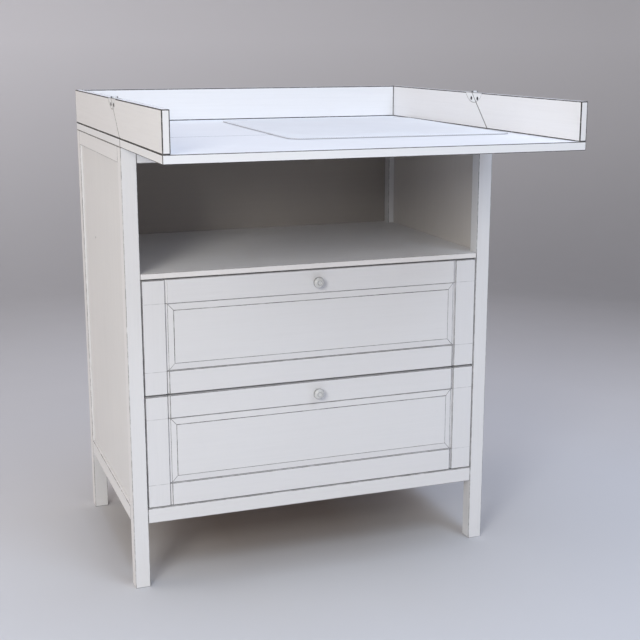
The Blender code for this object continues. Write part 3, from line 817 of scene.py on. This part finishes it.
def border_path(half_x, half_y, corner, spacing):
    """Evenly spaced places on a rectangle with round corners, each with the way the border runs."""
    runs = []
    for quarter, (sign_x, sign_y) in enumerate(((1, 1), (-1, 1), (-1, -1), (1, -1))):
        centre = Vector((sign_x * (half_x - corner), sign_y * (half_y - corner), 0))
        turns = [quarter + step / CORNER_STEPS for step in range(CORNER_STEPS + 1)]
        runs += [(centre, turn * math.pi / 2) for turn in turns]
    points = [centre + corner * Vector((math.cos(a), math.sin(a), 0)) for centre, a in runs]
    points.append(points[0])
    lengths = [(after - before).length for before, after in zip(points, points[1:])]
    count = round(sum(lengths) / spacing)
    gap = sum(lengths) / count
    places = []
    walked = 0.0
    for before, after, length in zip(points, points[1:], lengths):
        heading = (after - before).normalized() if length else None
        while length and len(places) * gap < walked + length and len(places) < count:
            places.append((before + heading * (len(places) * gap - walked), heading))
        walked += length
    return places


def tube(bm, spine, radii, sides, closed=False):
    """Adds a round tube along (place, heading) pairs, with one radius for each."""
    rings = []
    for (place, heading), radius in zip(spine, radii):
        sideways = heading.cross(UP).normalized()
        ring = []
        for side in range(sides):
            angle = math.tau * side / sides
            offset = sideways * math.cos(angle) + UP * math.sin(angle)
            ring.append(bm.verts.new(place + offset * radius))
        rings.append(ring)
    pairs = list(zip(rings, rings[1:]))
    if closed:
        pairs.append((rings[-1], rings[0]))
    for ring, after in pairs:
        for i in range(sides):
            j = (i + 1) % sides
            bm.faces.new((ring[i], ring[j], after[j], after[i]))
    if not closed:
        bm.faces.new(rings[0][::-1])
        bm.faces.new(rings[-1])


def make_piping():
    """A covered cord sewn into the mat's border."""
    half_x = MAT_SIZE[0] / 2 - PIPING
    half_y = MAT_SIZE[1] / 2 - PIPING
    spine = border_path(half_x, half_y, MAT_CORNER - PIPING, PIPING_STEP)
    spine = [(place + UP * PIPING, heading) for place, heading in spine]
    bm = bmesh.new()
    tube(bm, spine, [PIPING] * len(spine), PIPING_SIDES, closed=True)
    return new_piece("changing_mat_piping", bm)


def make_stitches():
    """One row of stitches, each a short arch of thread, along the inside of the welt."""
    half_x = MAT_SIZE[0] / 2 - PIPING - STITCH_INSET
    half_y = MAT_SIZE[1] / 2 - PIPING - STITCH_INSET
    corner = MAT_CORNER - PIPING - STITCH_INSET
    bm = bmesh.new()
    for place, heading in border_path(half_x, half_y, corner, STITCH_PITCH):
        spine = []
        radii = []
        for step in range(STITCH_STEPS + 1):
            t = step / STITCH_STEPS
            arch = math.sin(math.pi * t)
            spot = place + heading * (t - 0.5) * STITCH_LENGTH
            height = WELT_THICK + THREAD * (THREAD_ARCH * arch - 1)
            spine.append((spot + UP * height, heading))
            radii.append(THREAD * (THREAD_END + (1 - THREAD_END) * arch))
        tube(bm, spine, radii, THREAD_SIDES)
    return new_piece("changing_mat_stitches", bm)


def make_mat():
    """The mat's cushion, piping and stitches, where the model's plain mat lies."""
    low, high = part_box("changing_mat")
    centre = (low + high) / 2
    place = Matrix.Translation((centre.x, centre.y, low.z)) @ Matrix.Rotation(MAT_TURN, 4, "Z")
    pad = make_pad()
    puff(pad)
    rounder = pad.modifiers.new("smooth", "SUBSURF")
    rounder.levels = 1
    rounder.render_levels = 1
    cover = coated_fabric("mat_cover", MAT_COLOUR)
    trim = coated_fabric("mat_trim", TRIM_COLOUR)
    thread = thread_surface()
    pieces = ((pad, cover), (make_piping(), trim), (make_stitches(), thread))
    for piece, surface in pieces:
        piece.data.transform(place)
        piece.data.shade_smooth()
        piece.data.materials.append(surface)
        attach(piece, "cabinet")
        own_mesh(piece)
    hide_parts("changing_mat")


# ---- cover plugs ----------------------------------------------------------------------------
def make_plugs():
    """A small flat cover plug in each side panel, over a hole that this model does not use."""
    lacquer = powder_coat("plug_cover", GREY_METAL, PLUG_SHARES)
    chamfer = PLUG_PROUD / 2
    profile = [(PLUG_RADIUS, 0.0), (PLUG_RADIUS, chamfer), (PLUG_RADIUS - chamfer, PLUG_PROUD)]
    for side, panel in (("left", "side_panel_left"), ("right", "side_panel_right")):
        low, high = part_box(panel)
        outward = -1 if side == "left" else 1
        face = low.x if side == "left" else high.x
        bm = bmesh.new()
        rings = []
        for radius, rise in profile:
            ring = []
            for step in range(PLUG_SIDES):
                angle = outward * math.tau * step / PLUG_SIDES
                y = PLUG_PLACE[0] + radius * math.cos(angle)
                z = PLUG_PLACE[1] + radius * math.sin(angle)
                ring.append(bm.verts.new((face + outward * rise, y, z)))
            rings.append(ring)
        for ring, after in zip(rings, rings[1:]):
            for i in range(PLUG_SIDES):
                j = (i + 1) % PLUG_SIDES
                bm.faces.new((ring[i], ring[j], after[j], after[i]))
        bm.faces.new(rings[0][::-1])
        bm.faces.new(rings[-1])
        plug = new_piece(f"panel_plug_{side}", bm)
        plug.data.materials.append(lacquer)
        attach(plug, "cabinet")


# ---- stage ----------------------------------------------------------------------------------
def make_stage():
    """A round level floor that curves up into a wall on every side."""
    profile = [(STAGE_FLAT * step / STAGE_RINGS, 0.0) for step in range(1, STAGE_RINGS + 1)]
    for step in range(1, CURVE_RINGS + 1):
        angle = step / CURVE_RINGS * math.pi / 2
        radius = STAGE_FLAT + STAGE_CURVE * math.sin(angle)
        profile.append((radius, STAGE_CURVE * (1 - math.cos(angle))))
    profile.append((STAGE_FLAT + STAGE_CURVE, STAGE_HEIGHT))
    bm = bmesh.new()
    rings = []
    for radius, height in profile:
        ring = []
        for step in range(STAGE_SIDES):
            angle = math.tau * step / STAGE_SIDES
            ring.append(bm.verts.new((radius * math.cos(angle), radius * math.sin(angle), height)))
        rings.append(ring)
    bm.faces.new(rings[0])
    for ring, after in zip(rings, rings[1:]):
        for i in range(STAGE_SIDES):
            j = (i + 1) % STAGE_SIDES
            bm.faces.new((ring[i], after[i], after[j], ring[j]))
    floor = new_piece("backdrop", bm)
    floor.data.shade_smooth()
    floor.data.materials.append(stage_paper_painted_light())


def make_camera():
    """A level-sided view from the front left, a little above the tray."""
    data = bpy.data.cameras.new("camera")
    data.lens = CAMERA_LENS
    data.clip_end = CAMERA_REACH
    camera = bpy.data.objects.new("camera", data)
    camera.location = CAMERA_PLACE
    camera.rotation_euler = (math.pi / 2 - CAMERA_DIP, 0, -CAMERA_TURN)
    bpy.context.collection.objects.link(camera)
    bpy.context.scene.camera = camera


def make_lights():
    """Soft lamps that the camera doesn't see, and a weak light from all around."""
    for name, (place, target, size, watts, colour) in LAMPS.items():
        data = bpy.data.lights.new(name, "AREA")
        data.shape = "RECTANGLE"
        data.size, data.size_y = size
        data.energy = watts
        data.color = colour
        lamp = bpy.data.objects.new(name, data)
        lamp.visible_camera = False
        lamp.location = place
        aim = Vector(target) - Vector(place)
        lamp.rotation_euler = aim.to_track_quat("-Z", "Y").to_euler()
        bpy.context.collection.objects.link(lamp)
    world = bpy.data.worlds.new("studio")
    world.use_nodes = True
    sky = world.node_tree.nodes["Background"]
    sky.inputs["Color"].default_value = (*WORLD_COLOUR, 1)
    sky.inputs["Strength"].default_value = WORLD_STRENGTH
    bpy.context.scene.world = world
    bpy.context.scene.view_settings.view_transform = "Standard"


def main():
    """Loads the frame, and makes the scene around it."""
    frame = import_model()
    make_camera()
    make_lights()
    make_stage()
    finish = make_finishes()
    for name, piece in frame["nodes"].items():
        if name != "changing_mat":
            dress(name, piece, finish)
    make_plugs()
    make_mat()


main()
